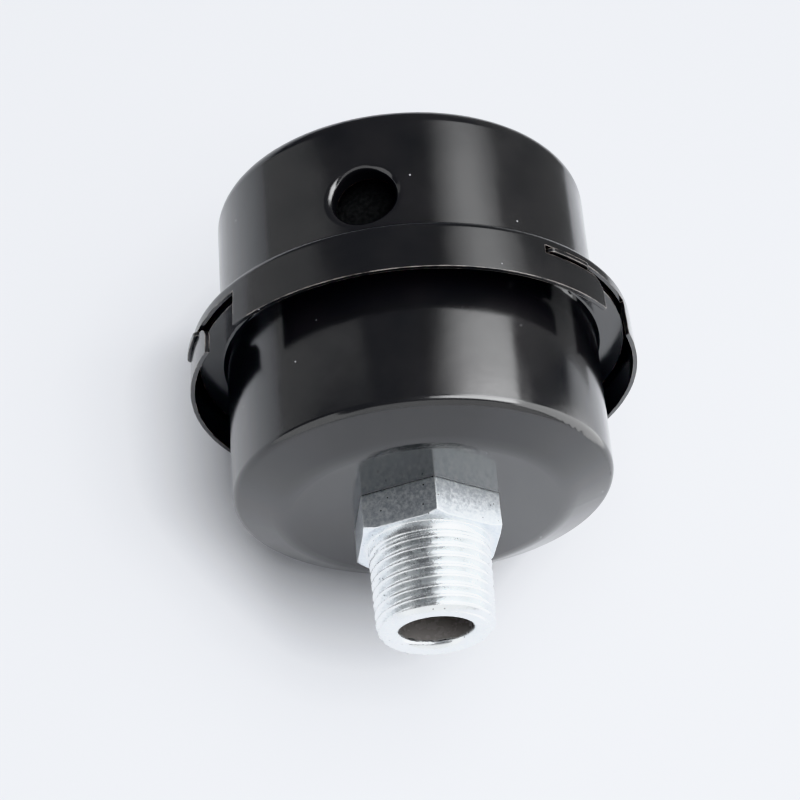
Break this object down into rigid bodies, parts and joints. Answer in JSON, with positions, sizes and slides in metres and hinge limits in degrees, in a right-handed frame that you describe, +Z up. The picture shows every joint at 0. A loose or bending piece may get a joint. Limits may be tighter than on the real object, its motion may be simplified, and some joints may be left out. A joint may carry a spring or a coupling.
{
  "type": "compressor intake filter silencer",
  "caption": "Two black pressed steel shells joined by a twist lock hold a ring filter; air enters a side hole and leaves through a hexagon nipple with a tapered thread.",
  "frame": {"origin": "centre of the hexagon's thread-side face, where it seats on the port", "axes": "-Y along the nipple's thread, out of the muffler; +Y to the cover's closed end; +Z up, between the intake hole and the nearest lug"},
  "size_m": [0.0812, 0.0863, 0.0808],
  "materials": {
    "black_paint": "gloss to satin black stove enamel on pressed steel",
    "zinc_plated_steel": "bright zinc plating on turned steel",
    "rubber": "matt black nitrile rubber",
    "galvanised_sheet": "galvanised sheet",
    "filter_foam": "open-cell charcoal foam"
  },
  "bodies": {
    "base": {"base_shell": "black_paint", "threaded_nipple": "zinc_plated_steel", "backing_washer": "zinc_plated_steel", "flange_gasket": "rubber", "element_core": "galvanised_sheet", "element_foam": "filter_foam", "element_plate_base": "galvanised_sheet", "element_plate_cover": "galvanised_sheet", "seal_ring_base": "rubber", "seal_ring_cover": "rubber"},
    "cover": {"cover_shell": "black_paint"}
  },
  "joints": [
    {"name": "cover_twist", "type": "hinge", "parent": "base", "child": "cover", "pos_m": [0, 0.04155, 0], "axis": [0, -1, 0], "range_deg": [0, 20]}
  ]
}
